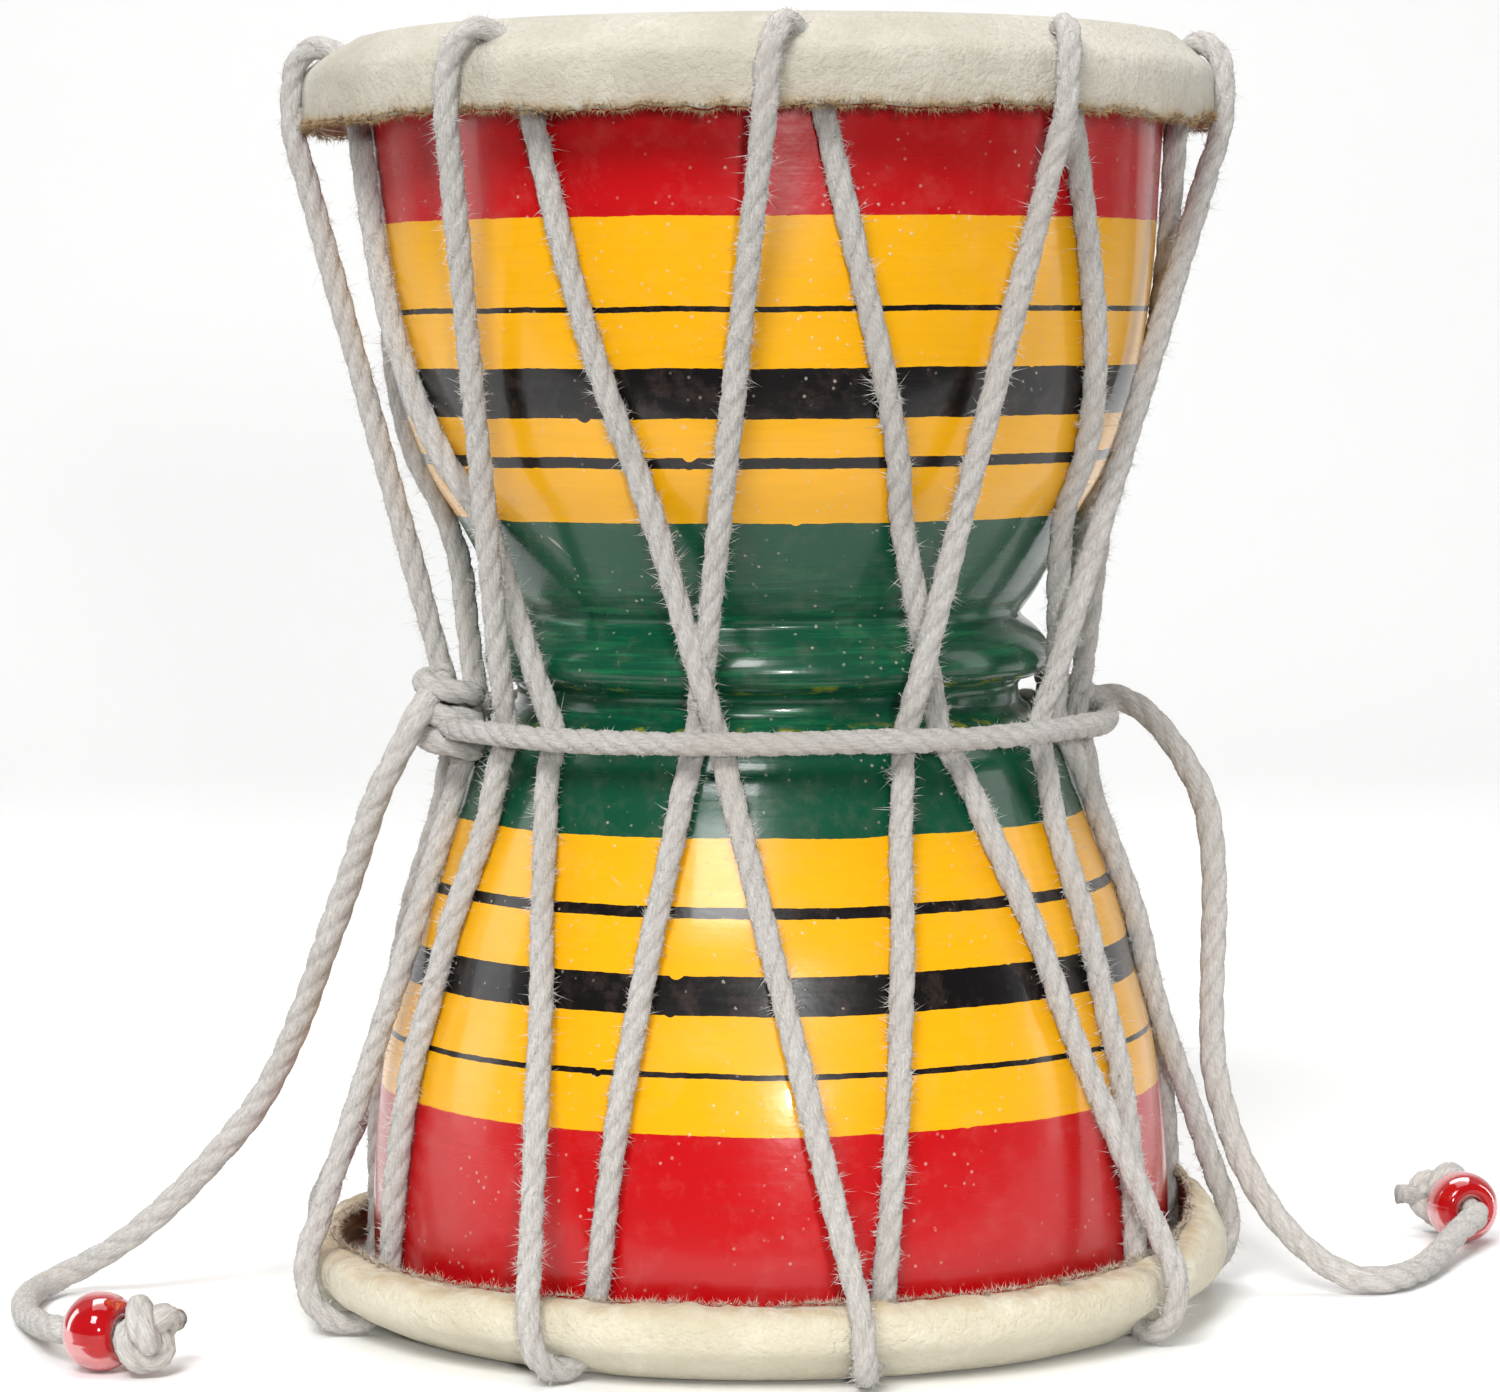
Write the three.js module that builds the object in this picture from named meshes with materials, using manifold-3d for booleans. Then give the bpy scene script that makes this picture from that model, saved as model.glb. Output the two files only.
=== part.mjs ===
// Damaru: a two-headed hourglass hand drum, in millimetres, +Z up, front towards -Y.
// It stands on its lower head. Both strikers have swung down and lie beside it.
import * as THREE from 'three';
import { mergeVertices } from 'three/addons/utils/BufferGeometryUtils.js';
import Module from 'manifold-3d';

const wasm = await Module();
wasm.setup();

// Overall sizes
const HEIGHT = 152.3; // floor to the top skin
const SIDES = 26; // facets round the turned and laced parts

// Wooden shell
const SHELL_BASE = 1.2;
const SHELL_TOP = 151.25;

// Skins
const SKIN = 0.7; // hide thickness
const TOP_LAP_RADIUS = 54.4;
const TOP_LAP_EDGE = 141.7; // height of the cut edge of the upper lap
const TOP_LAP_SHIFT = -0.7; // the hoops sit a little to the left of the shell's axis
const LOW_LAP_RADIUS = 56.0;
const LOW_LAP_EDGE = 8.5;
const LOW_TURN_IN = 53.9; // the cut edge is turned in over the hoop to this radius
const LOW_LAP_SHIFT = -1.1;
const LAP_RISE = 4.5; // the lower lap was cut higher at the right, and its edge leans in under the rope
const LAP_RISE_AT = 105; // degrees round the axis
const LAP_RISE_SPREAD = 32;
const LAP_LEAN = 0.5;
const TURN_IN_LEAN = 0.12;

// Cotton rope
const ROPE = 1.45; // rope radius
const HOLE = 2.0; // radius of a lace hole in the skin
const LEG_SAMPLES = [0.23, 0.43, 0.63, 0.83]; // where a leg may bend over the shell
const LEG_CLEARANCE = 0.95; // between a leg and the shell at those places
const WAIST_Z = 71;
const WAIST_RING = 41.1; // radius of the cord tied round the waist

// Strikers
const TAIL = 1.65; // radius of a striker cord, thicker than the lacing because nothing pulls it tight
const KNOT_TURN = 3.2; // radius of a turn of an end knot
const KNOT_CORE = 2.85;
const CUT_END = 6; // from the middle of an end knot to the end of its rope
const BEAD_RADIUS = 4.5;
const BEAD_BORE = 1.9;
const BEAD_LENGTH = 6.4;

// Lace holes, in degrees round the axis, 0 at the front and positive to the right
const TOP_HOLES = [-80, -36.1, 3.2, 40.2, 81, 121, 161, 201, 241];
const LOW_HOLES = [-66, -25.2, 12.5, 57, 98, 139, 180, 218, 255];

// Where the outer and the inner leg of each top loop pass under the waist cord: angle and radius
const OUTER_WAIST = [
  [-93, 37.7], [-53.6, 37.7], [-13.6, 36], [24, 37.7], [56.2, 37.7], [96, 37.7], [137, 37.7], [176, 37.7],
  [216, 37.7],
];
const INNER_WAIST = [
  [-44.6, 36], [-8.6, 37.7], [34, 36], [75.6, 36], [106, 36], [151, 36], [190, 36], [230, 36], [284, 36],
];

const rad = THREE.MathUtils.degToRad;

// Point at an angle round the drum, a radius and a height
function polar(angle, radius, z) {
  return new THREE.Vector3(radius * Math.sin(rad(angle)), -radius * Math.cos(rad(angle)), z);
}

// Points near a hoop follow it sideways, points near the shell stay with the shell
function followHoop(point, shift) {
  const radius = Math.hypot(point.x, point.y);
  point.x += shift * THREE.MathUtils.smoothstep(radius, 49, 53);
  return point;
}

// Merge shared corners and drop faces that have no area
function weld(geometry) {
  const bare = new THREE.BufferGeometry();
  bare.setAttribute('position', geometry.getAttribute('position').clone());
  if (geometry.index) bare.setIndex(geometry.index.clone());
  const merged = mergeVertices(bare, 1e-4);
  const corners = merged.index.array;
  const kept = [];
  for (let i = 0; i < corners.length; i += 3) {
    const [a, b, c] = [corners[i], corners[i + 1], corners[i + 2]];
    if (a !== b && b !== c && c !== a) kept.push(a, b, c);
  }
  merged.setIndex(kept);
  return merged;
}

function toSolid(geometry) {
  const welded = weld(geometry);
  const vertProperties = new Float32Array(welded.getAttribute('position').array);
  const triVerts = new Uint32Array(welded.index.array);
  return new wasm.Manifold(new wasm.Mesh({ numProp: 3, vertProperties, triVerts }));
}

function toGeometry(solid) {
  const mesh = solid.getMesh();
  const geometry = new THREE.BufferGeometry();
  geometry.setAttribute('position', new THREE.BufferAttribute(new Float32Array(mesh.vertProperties), 3));
  geometry.setIndex(Array.from(mesh.triVerts));
  return geometry;
}

function uniteAll(geometries) {
  let whole = toSolid(geometries[0]);
  for (const geometry of geometries.slice(1)) whole = whole.add(toSolid(geometry));
  return toGeometry(whole.simplify(0.04));
}

// Turn a closed or axis-to-axis outline of [radius, height] pairs about the Z axis
function turn(outline, sides = SIDES) {
  const points = outline.map(([radius, height]) => new THREE.Vector2(radius, height));
  const geometry = new THREE.LatheGeometry(points, sides);
  geometry.rotateX(Math.PI / 2);
  return weld(geometry);
}

// A path that keeps one ring of the tube at each of its own points
class Route extends THREE.Curve {
  constructor(points) {
    super();
    this.points = points;
  }

  getUtoTmapping(u) {
    return u;
  }

  getPoint(t, target = new THREE.Vector3()) {
    const along = t * (this.points.length - 1);
    const i = Math.min(Math.floor(along), this.points.length - 2);
    return target.lerpVectors(this.points[i], this.points[i + 1], along - i);
  }

  getTangent(t, target = new THREE.Vector3()) {
    const last = this.points.length - 1;
    const i = Math.round(t * last);
    const before = this.points[i].clone().sub(this.points[Math.max(i - 1, 0)]).normalize();
    const after = this.points[Math.min(i + 1, last)].clone().sub(this.points[i]).normalize();
    return target.copy(before).add(after).normalize();
  }
}

function roundSection(radius, sides) {
  const corners = [];
  for (let i = 0; i < sides; i += 1) {
    const angle = ((i + 0.5) * 2 * Math.PI) / sides;
    corners.push(new THREE.Vector2(radius * Math.cos(angle), radius * Math.sin(angle)));
  }
  return new THREE.Shape(corners);
}

function rope(points, radius = ROPE, sides = 8) {
  const settings = { steps: points.length - 1, bevelEnabled: false, extrudePath: new Route(points) };
  return new THREE.ExtrudeGeometry(roundSection(radius, sides), settings);
}

// Smooth a few hand-set points into a route with a ring every few millimetres
function smoothRoute(points, step) {
  const curve = new THREE.CatmullRomCurve3(points, false, 'centripetal');
  return curve.getSpacedPoints(Math.max(2, Math.round(curve.getLength() / step)));
}

// ---- Shell: one piece of turned wood, hollow right through its waist ----

const SHELL_OUTSIDE = [
  [47.1, SHELL_BASE], [48.1, 2.4], [48.1, 14], [47.4, 24], [46.2, 32.8], [42.4, 48], [39.9, 55.2],
  [35.6, 67.6], [33.6, 71], [31.8, 72.1], [30.2, 73.3], [30.2, 75.3], [33.2, 76.3], [34.2, 77.8],
  [34, 79.3], [32.3, 81.8], [30.3, 83.5], [32.2, 86.1], [37.3, 95.5], [40, 99.9], [42.3, 105.4],
  [44.4, 111.9], [46.2, 122.9], [47.2, 136], [47.9, 149.8], [47.1, SHELL_TOP],
];
const SHELL_INSIDE = [
  [43.8, SHELL_TOP], [40.8, 114], [34, 99], [24, 89], [12, 83], [10, 78], [12, 73],
  [24, 66], [35, 55], [41.4, 38], [43.9, 16], [43.8, SHELL_BASE],
];

function shellRadius(z) {
  const clamped = THREE.MathUtils.clamp(z, SHELL_BASE, SHELL_TOP);
  for (let i = 1; i < SHELL_OUTSIDE.length; i += 1) {
    const [r0, z0] = SHELL_OUTSIDE[i - 1];
    const [r1, z1] = SHELL_OUTSIDE[i];
    if (clamped <= z1) return r0 + ((r1 - r0) * (clamped - z0)) / (z1 - z0);
  }
  return SHELL_OUTSIDE.at(-1)[0];
}

function makeShell() {
  return turn([...SHELL_OUTSIDE, ...SHELL_INSIDE, SHELL_OUTSIDE[0]]);
}

// ---- Hoops: thin cane strips inside the laps of the skins ----

function makeTopHoop() {
  const outline = [[52.45, 142.1], [53.4, 142.1], [53.4, 146.3], [52.9, 147.3], [52.45, 147.5], [52.45, 142.1]];
  return turn(outline).translate(TOP_LAP_SHIFT, 0, 0);
}

function makeLowHoop() {
  const outline = [[53.05, 4.5], [53.9, 4.9], [55, 6.3], [55, 8.2], [53.05, 8.2], [53.05, 4.5]];
  return turn(outline).translate(LOW_LAP_SHIFT, 0, 0);
}

// ---- Loops of rope over the two rims ----
// Each runs up inside the hoop, out through its hole in the skin and down over the lap.

const TOP_LOOP = [
  [3, 49.6, 146.4], [2, 50, 148.9], [0.8, 51, 150.7], [0, 52.5, 151.5], [-0.8, 54.3, 151],
  [-1.6, 55.8, 149.2], [-2.2, 56.25, 146.6], [-2.6, 56.25, 141.2],
];
const LOW_LOOP = [
  [1.6, 49.95, 5.6], [1.2, 50.4, 3.5], [0.6, 51.5, 2], [0, 53.1, 1.5], [-0.6, 55, 2],
  [-1.1, 56.8, 3.5], [-1.4, 57.75, 5.6], [-1.7, 57.75, 9.2],
];

function loopPoints(loop, hole, shift) {
  return loop.map(([turned, radius, z]) => followHoop(polar(hole + turned, radius, z), shift));
}

// A taut leg from the waist to a rim. It runs straight, but bends over the shell where it touches.
function legPoints(from, to) {
  const points = [];
  for (const along of LEG_SAMPLES) {
    const point = new THREE.Vector3().lerpVectors(from, to, along);
    const radius = Math.hypot(point.x, point.y);
    const least = shellRadius(point.z) + ROPE + LEG_CLEARANCE;
    if (radius < least) {
      point.x *= least / radius;
      point.y *= least / radius;
      points.push(point);
    }
  }
  return points;
}

// The lacing is one endless rope. It goes from top hole k down to lower hole k-1, then up to
// top hole k-2, and so on. Holes are counted from 0 and the rope is laid in three lengths.
function layLacing() {
  const count = TOP_HOLES.length;
  const wrap = (k) => (k + 2 * count) % count;
  const tops = TOP_HOLES.map((hole) => loopPoints(TOP_LOOP, hole, TOP_LAP_SHIFT));
  const lows = LOW_HOLES.map((hole) => loopPoints(LOW_LOOP, hole, LOW_LAP_SHIFT));
  const outer = OUTER_WAIST.map(([angle, radius]) => polar(angle, radius, WAIST_Z));
  const inner = INNER_WAIST.map(([angle, radius]) => polar(angle, radius, WAIST_Z));
  const fromTop = (k) => {
    const low = lows[wrap(k - 1)];
    const down = [...legPoints(outer[k], tops[k].at(-1)).reverse(), outer[k], ...legPoints(outer[k], low[0])];
    return [...tops[k], ...down];
  };
  const fromLow = (k) => {
    const next = wrap(k - 1);
    const top = tops[next];
    const up = [...legPoints(inner[next], lows[k].at(-1)).reverse(), inner[next], ...legPoints(inner[next], top[0])];
    return [...lows[k], ...up];
  };
  const lengths = [[2, 4], [3, 4], [4, 1]];
  return lengths.map(([start, turns]) => {
    const points = [];
    for (let turn = 0; turn < turns; turn += 1) {
      const k = wrap(start - 2 * turn);
      points.push(...fromTop(k), ...fromLow(wrap(k - 1)));
    }
    const next = tops[wrap(start - 2 * turns)][0];
    const overlap = next.clone().sub(points.at(-1)).setLength(1.2).add(next);
    return [...points, next, overlap];
  });
}

function makeLacing() {
  return uniteAll(layLacing().map((points) => rope(points)));
}

// ---- Skins: stretched over the mouth, lapped over the hoop and left with a cut edge ----

// Cut the lace holes along the part of each loop that passes through the skin
function pierce(skin, loops) {
  let solid = toSolid(skin);
  for (const loop of loops) solid = solid.subtract(toSolid(rope(loop, HOLE, 6)));
  return toGeometry(solid.simplify(0.02));
}

function makeTopHead() {
  const outline = [
    [0, HEIGHT - SKIN], [47, HEIGHT - SKIN], [48.3, 151.35], [53.3, 147.7],
    [TOP_LAP_RADIUS - SKIN, 146.6], [TOP_LAP_RADIUS - SKIN, TOP_LAP_EDGE], [TOP_LAP_RADIUS, TOP_LAP_EDGE],
    [TOP_LAP_RADIUS, 146.8], [53.9, 148.1], [48.8, 151.9], [47.2, HEIGHT], [0, HEIGHT],
  ];
  const skin = turn(outline);
  followAll(skin, TOP_LAP_SHIFT);
  const loops = TOP_HOLES.map((hole) => loopPoints(TOP_LOOP, hole, TOP_LAP_SHIFT).slice(0, 4));
  return pierce(skin, loops);
}

function makeLowHead() {
  const outline = [
    [0, 0], [45.5, 0], [48.6, 0.32], [55.3, 4.6], [LOW_LAP_RADIUS, 5.9],
    [LOW_LAP_RADIUS, 8.3], [LOW_LAP_RADIUS - 1.3, LOW_LAP_EDGE + SKIN], [LOW_TURN_IN, LOW_LAP_EDGE + SKIN],
    [LOW_TURN_IN, LOW_LAP_EDGE], [LOW_LAP_RADIUS - SKIN, LOW_LAP_EDGE],
    [LOW_LAP_RADIUS - SKIN, 8.3], [LOW_LAP_RADIUS - SKIN, 6.1],
    [54.8, 5.2], [48.2, 1.05], [45.3, SKIN], [0, SKIN],
  ];
  const skin = turn(outline);
  raiseLap(skin);
  followAll(skin, LOW_LAP_SHIFT);
  const loops = LOW_HOLES.map((hole) => loopPoints(LOW_LOOP, hole, LOW_LAP_SHIFT).slice(0, 4));
  return pierce(skin, loops);
}

function raiseLap(geometry) {
  const position = geometry.getAttribute('position');
  for (let i = 0; i < position.count; i += 1) {
    const [x, y, z] = [position.getX(i), position.getY(i), position.getZ(i)];
    if (z > LOW_LAP_EDGE - 0.01) {
      const away = (THREE.MathUtils.radToDeg(Math.atan2(x, -y)) - LAP_RISE_AT) / LAP_RISE_SPREAD;
      const rise = LAP_RISE * Math.exp(-away * away);
      const radius = Math.hypot(x, y);
      const lean = radius > LOW_TURN_IN + 1 ? LAP_LEAN : TURN_IN_LEAN;
      const inward = 1 - (rise * lean) / radius;
      position.setXYZ(i, x * inward, y * inward, z + rise);
    }
  }
}

function followAll(geometry, shift) {
  const position = geometry.getAttribute('position');
  const point = new THREE.Vector3();
  for (let i = 0; i < position.count; i += 1) {
    followHoop(point.fromBufferAttribute(position, i), shift);
    position.setX(i, point.x);
  }
}

// ---- Waist cord: one turn round all the legs, with a knot for each striker ----

const LEFT_KNOT = -70;
const RIGHT_KNOT = 122;

function knotWrap(angle, radius, z, lean, size) {
  const wrap = new THREE.TorusGeometry(size, ROPE, 8, 10);
  wrap.rotateY(Math.PI / 2 + rad(lean));
  wrap.rotateZ(rad(angle));
  const at = polar(angle, radius, z);
  return wrap.translate(at.x, at.y, at.z);
}

function makeWaistCord() {
  const ring = new THREE.TorusGeometry(WAIST_RING, ROPE, 8, 32);
  ring.translate(0, 0, WAIST_Z);
  const parts = [ring];
  parts.push(knotWrap(LEFT_KNOT - 2.6, 42.2, WAIST_Z + 0.6, 18, 2.7));
  parts.push(knotWrap(LEFT_KNOT + 2.4, 42.4, WAIST_Z + 1, -24, 2.9));
  parts.push(knotWrap(RIGHT_KNOT, 42.2, WAIST_Z + 0.6, 14, 2.5));
  return uniteAll(parts);
}

// ---- Striker cords: hang from the knots, bend and run out on the floor ----

const LEFT_CORD = [
  [-45, -16.4, 72.4], [-44.9, -17.4, 67.8], [-46.2, -16.4, 63.2], [-49.5, -12, 53.5], [-52.7, -9, 45.2],
  [-55.9, -5.5, 36.7], [-59.4, -2.6, 29], [-62.5, -1, 23.8], [-67.6, 0, 17.6], [-74, 1, 11.1],
  [-79.8, 2.4, 6.4], [-85.4, 4.4, 3], [-88.6, 1.6, 1.75], [-89.6, -5.4, 1.7], [-88.7, -14.6, 1.7],
  [-85.9, -24, 2.3], [-83.2, -32.4, 3.4], [-79.95, -37.85, 4.25],
];
const RIGHT_CORD = [
  [40.9, 25.2, 72.6], [44.1, 24.2, 71.9], [47.5, 22, 69.4], [50.4, 20, 66.1], [52.4, 19, 63], [54.4, 18, 58.7],
  [55.3, 16.5, 52.6], [55.4, 15, 46.5], [55, 13, 39.3], [54.7, 11, 32.1], [54.9, 9.5, 26.1], [56.5, 6.6, 19.2],
  [58.1, 4.5, 15], [61.1, 2.2, 9.9], [64, 1, 6.5], [67.6, 0.2, 3.6], [71.4, -0.6, 1.9], [75.5, 0.4, 1.7],
  [79.2, 5.2, 1.7], [82.4, 12, 1.9], [85.1, 18.4, 2.7], [87.8, 24, 3.6], [90.25, 29.4, 4.25],
];

function makeStrikerCord(points) {
  return weld(rope(smoothRoute(points.map((p) => new THREE.Vector3(...p)), 6.5), TAIL));
}

// ---- Beads and the knots that keep them on ----

const LEFT_BEAD = { at: [-76.3, -39.8, 4.55], along: [0.88, -0.47, 0] };
const RIGHT_BEAD = { at: [89.1, 33.4, 4.55], along: [-0.28, 0.96, 0] };

// A moulded barrel bead with a hole through it
function makeBead({ at, along }) {
  const half = BEAD_LENGTH / 2;
  const outline = [
    [BEAD_BORE, -half], [3.1, -half], [4.15, -half * 0.62], [BEAD_RADIUS, 0], [4.15, half * 0.62],
    [3.1, half], [BEAD_BORE, half], [BEAD_BORE, -half],
  ];
  const bead = turn(outline, 16);
  const direction = new THREE.Vector3(...along).normalize();
  const turned = new THREE.Quaternion().setFromUnitVectors(new THREE.Vector3(0, 0, 1), direction);
  return bead.applyQuaternion(turned).translate(...at);
}

// An overhand knot: two crossed turns of rope round a core, with the cut end out at one side
function makeEndKnot({ at, along }, distance) {
  const direction = new THREE.Vector3(...along).normalize();
  const heading = Math.atan2(direction.y, direction.x);
  const centre = new THREE.Vector3(...at).addScaledVector(direction, distance).setZ(4.4);
  const parts = [];
  for (const lean of [-26, 26]) {
    const loop = new THREE.TorusGeometry(KNOT_TURN, ROPE, 8, 9);
    loop.rotateY(Math.PI / 2 + rad(lean));
    loop.rotateZ(heading);
    loop.translate(centre.x, centre.y, centre.z);
    parts.push(loop);
  }
  const start = centre.clone().addScaledVector(direction, -2.4);
  const finish = centre.clone().addScaledVector(direction, 3.6);
  parts.push(rope([start, finish], KNOT_CORE));
  const sideways = new THREE.Vector3(-direction.y, direction.x, 0.12);
  parts.push(rope([centre, centre.clone().addScaledVector(sideways, CUT_END)], 1.3, 6));
  return uniteAll(parts);
}

// ---- Assembly ----

function paint(color, roughness, metalness = 0) {
  return new THREE.MeshStandardMaterial({ color, roughness, metalness });
}

const enamel = () => paint(0xa82a14, 0.25);
const cane = () => paint(0x6b4a24, 0.7);
const greyHide = () => paint(0xb9b4a5, 0.9);
const creamHide = () => paint(0xd4cdb6, 0.9);
const cotton = () => paint(0xc9c4bc, 0.95);
const redPlastic = () => paint(0xb3121b, 0.2);

const damaru = new THREE.Group();
damaru.name = 'damaru';

function addPiece(name, geometry, material) {
  const mesh = new THREE.Mesh(geometry, material);
  mesh.name = name;
  damaru.add(mesh);
}

addPiece('shell', makeShell(), enamel());
addPiece('top_hoop', makeTopHoop(), cane());
addPiece('bottom_hoop', makeLowHoop(), cane());
addPiece('top_head', makeTopHead(), greyHide());
addPiece('bottom_head', makeLowHead(), creamHide());
addPiece('lacing', makeLacing(), cotton());
addPiece('waist_cord', makeWaistCord(), cotton());
addPiece('striker_cord_left', makeStrikerCord(LEFT_CORD), cotton());
addPiece('striker_cord_right', makeStrikerCord(RIGHT_CORD), cotton());
addPiece('bead_left', makeBead(LEFT_BEAD), redPlastic());
addPiece('bead_right', makeBead(RIGHT_BEAD), redPlastic());
addPiece('end_knot_left', makeEndKnot(LEFT_BEAD, 6.4), cotton());
addPiece('end_knot_right', makeEndKnot(RIGHT_BEAD, 6.4), cotton());

export default damaru;
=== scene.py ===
# Damaru: a two-headed hourglass hand drum, turned and painted in bands, laced with cotton
# rope, with a bead striker hanging from each side of its waist. It stands on its lower head.
import math

import bpy
import numpy as np
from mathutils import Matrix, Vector, noise


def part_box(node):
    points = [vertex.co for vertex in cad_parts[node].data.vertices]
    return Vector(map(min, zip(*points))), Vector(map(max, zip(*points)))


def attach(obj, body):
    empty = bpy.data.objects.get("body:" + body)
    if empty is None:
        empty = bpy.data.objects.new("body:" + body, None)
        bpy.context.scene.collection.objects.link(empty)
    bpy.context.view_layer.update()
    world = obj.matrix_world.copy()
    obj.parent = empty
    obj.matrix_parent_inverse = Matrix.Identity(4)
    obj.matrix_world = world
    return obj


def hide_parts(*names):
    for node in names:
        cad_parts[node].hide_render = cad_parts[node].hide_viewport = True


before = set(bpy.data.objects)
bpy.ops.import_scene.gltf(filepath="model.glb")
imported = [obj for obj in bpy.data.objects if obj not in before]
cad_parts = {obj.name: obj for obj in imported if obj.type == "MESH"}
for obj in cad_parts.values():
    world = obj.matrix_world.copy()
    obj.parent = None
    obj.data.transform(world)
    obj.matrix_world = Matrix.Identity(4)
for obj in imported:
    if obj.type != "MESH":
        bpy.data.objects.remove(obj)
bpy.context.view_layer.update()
MM = 0.001

# ---- Camera --------------------------------------------------------------------------
# A long lens at a little more than arm's length, level with the upper third of the drum and
# tipped slightly down. It leans by a third of a degree.
CAMERA_PLACE = (-1.88 * MM, -579.9 * MM, 116.2 * MM)
CAMERA_DOWN = 4.22
CAMERA_LEAN = 0.35

camera_data = bpy.data.cameras.new("camera")
camera_data.lens = 115.6
camera_data.sensor_width = 36
camera_data.clip_start = 0.05
camera = bpy.data.objects.new("camera", camera_data)
camera.location = CAMERA_PLACE
camera.rotation_euler = (math.radians(90 - CAMERA_DOWN), math.radians(CAMERA_LEAN), 0)
bpy.context.scene.collection.objects.link(camera)
bpy.context.scene.camera = camera
bpy.context.scene.view_settings.view_transform = "Standard"


# ---- Shader words --------------------------------------------------------------------
# Every finish below is written as sums of these: Value wraps one socket of a node tree.
class Value:
    def __init__(self, tree, socket):
        self.tree = tree
        self.socket = socket

    def node(self, kind, inputs, output=0, stops=None, **settings):
        made = self.tree.nodes.new("ShaderNode" + kind)
        for key, setting in settings.items():
            setattr(made, key, setting)
        if stops:
            ramp = made.color_ramp
            ramp.interpolation = "CONSTANT" if len(stops) > 6 else "LINEAR"
            while len(ramp.elements) < len(stops):
                ramp.elements.new(1)
            for element, (place, colour) in zip(ramp.elements, stops):
                element.position = place
                element.color = colour
        for key, given in inputs.items():
            if isinstance(given, Value):
                self.tree.links.new(given.socket, made.inputs[key])
            else:
                made.inputs[key].default_value = given
        return Value(self.tree, made.outputs[output])

    def maths(self, operation, *numbers):
        return self.node("Math", dict(enumerate(numbers)), operation=operation)

    def __add__(self, other):
        return self.maths("ADD", self, other)

    def __sub__(self, other):
        return self.maths("SUBTRACT", self, other)

    def __rsub__(self, other):
        return self.maths("SUBTRACT", other, self)

    def __mul__(self, other):
        return self.maths("MULTIPLY", self, other)

    def __truediv__(self, other):
        return self.maths("DIVIDE", self, other)

    __radd__ = __add__
    __rmul__ = __mul__

    # 0 below low, 1 above high, and an even slope between them
    def between(self, low, high):
        return self.node("MapRange", {0: self, 1: low, 2: high, 3: 0.0, 4: 1.0})

    # colour a where this is 0, colour b where it is 1
    def mix(self, a, b, how="MIX"):
        return self.node("Mix", {0: self, 6: a, 7: b}, 2, data_type="RGBA", blend_type=how)

    def stretched(self, x, y, z):
        return self.node("VectorMath", {0: self, 1: (x, y, z)}, operation="MULTIPLY")

    def clouds(self, size, detail=3.0, rough=0.5):
        looks = {"Vector": self, "Scale": 1 / size, "Detail": detail, "Roughness": rough}
        return self.node("TexNoise", looks)

    def dots(self, size):
        return self.node("TexVoronoi", {"Vector": self, "Scale": 1 / size})


def rgb(red, green, blue):
    return (red, green, blue, 1.0)


# A finish whose values that are the same all over are set on the shader itself
def start_finish(name, **constants):
    material = bpy.data.materials.new(name)
    material.use_nodes = True
    tree = material.node_tree
    surface = tree.nodes["Principled BSDF"]
    for key, constant in constants.items():
        surface.inputs[key.replace("_", " ")].default_value = constant
    place = Value(tree, tree.nodes.new("ShaderNodeTexCoord").outputs["Object"])
    return material, surface, place


def feed(surface, **varying):
    for key, value in varying.items():
        value.tree.links.new(value.socket, surface.inputs[key.replace("_", " ")])


def relief(height, depth):
    return height.node("Bump", {"Height": height, "Distance": depth, "Strength": 1.0})


# ---- Backdrop and lights -------------------------------------------------------------
# A pale sweep of board under and behind the drum, and large soft lamps round it.
def make_backdrop():
    across, front, back, bend, tall = 1.6, -0.16, 0.7, 0.45, 1.6
    side = [(front, 0.0), (back, 0.0)]
    for i in range(1, 13):
        turn = math.radians(90 * i / 12)
        side.append((back + bend * math.sin(turn), bend * (1 - math.cos(turn))))
    side.append((back + bend, tall))
    verts = []
    for y, z in side:
        verts += [(-across, y, z - 0.0001), (across, y, z - 0.0001)]
    faces = [(2 * i, 2 * i + 1, 2 * i + 3, 2 * i + 2) for i in range(len(side) - 1)]
    mesh = bpy.data.meshes.new("backdrop")
    mesh.from_pydata(verts, [], faces)
    mesh.shade_smooth()
    material, surface, place = start_finish("pale_board", Roughness=0.7)
    surface.inputs["Base Color"].default_value = rgb(0.93, 0.93, 0.925)
    mesh.materials.append(material)
    backdrop = bpy.data.objects.new("backdrop", mesh)
    bpy.context.scene.collection.objects.link(backdrop)


def soft_lamp(name, place, size, power):
    lamp_data = bpy.data.lights.new(name, "AREA")
    lamp_data.shape = "RECTANGLE"
    lamp_data.size, lamp_data.size_y = size
    lamp_data.energy = power
    lamp = bpy.data.objects.new(name, lamp_data)
    lamp.location = place
    lamp.rotation_euler = (Vector((0, 0, 0.08)) - Vector(place)).to_track_quat("-Z", "Y").to_euler()
    bpy.context.scene.collection.objects.link(lamp)


make_backdrop()
soft_lamp("key_lamp", (-0.3, -1.05, 0.98), (0.5, 0.5), 17)
soft_lamp("front_lamp", (0.1, -0.85, 0.2), (0.06, 0.06), 3.2)
soft_lamp("left_lamp", (-0.95, 0.1, 0.35), (0.3, 0.8), 1.8)
soft_lamp("right_lamp", (0.95, 0.05, 0.35), (0.3, 0.8), 1.8)
soft_lamp("top_lamp", (0.0, 0.1, 1.2), (1.0, 1.0), 10)
world = bpy.data.worlds.new("studio")
world.use_nodes = True
world.node_tree.nodes["Background"].inputs["Color"].default_value = rgb(1, 1, 1)
world.node_tree.nodes["Background"].inputs["Strength"].default_value = 0.13
bpy.context.scene.world = world

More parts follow.
